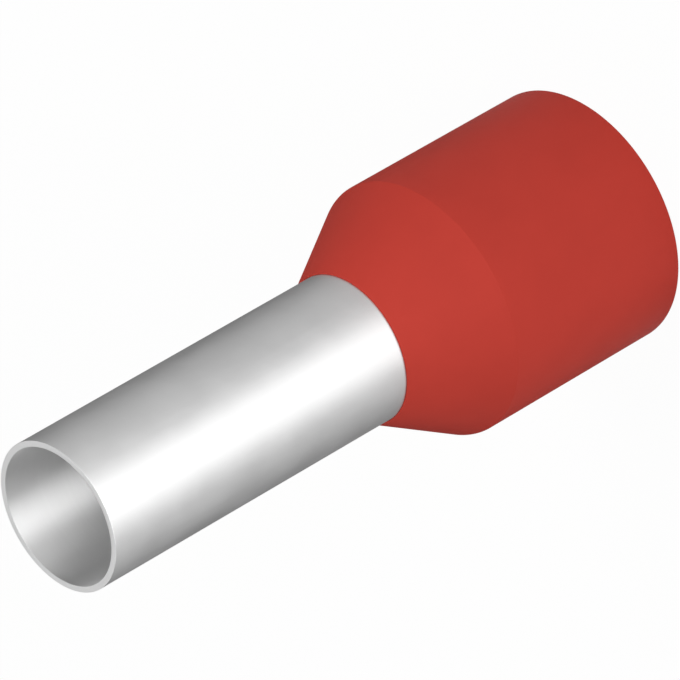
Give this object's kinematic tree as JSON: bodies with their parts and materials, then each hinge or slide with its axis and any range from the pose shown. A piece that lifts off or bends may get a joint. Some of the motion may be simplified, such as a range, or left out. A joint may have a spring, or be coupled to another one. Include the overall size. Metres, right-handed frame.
{
  "type": "wire ferrule",
  "caption": "Insulated wire ferrule: a plated metal crimping tube, open at both ends, in a red plastic collar that tapers down to the tube and guides a stranded wire into it.",
  "frame": {"origin": "centre of the collar's open end, in the plane on which the ferrule stands", "axes": "+Z along the axis, from the collar's open end to the tube's tip; X and Y are alike, because the ferrule is round"},
  "size_m": [0.0084, 0.0084, 0.022],
  "materials": {
    "tinned_copper": "satin",
    "red_plastic": "satin"
  },
  "bodies": {
    "root": {"crimp_tube": "tinned_copper", "insulating_collar": "red_plastic"}
  },
  "joints": []
}
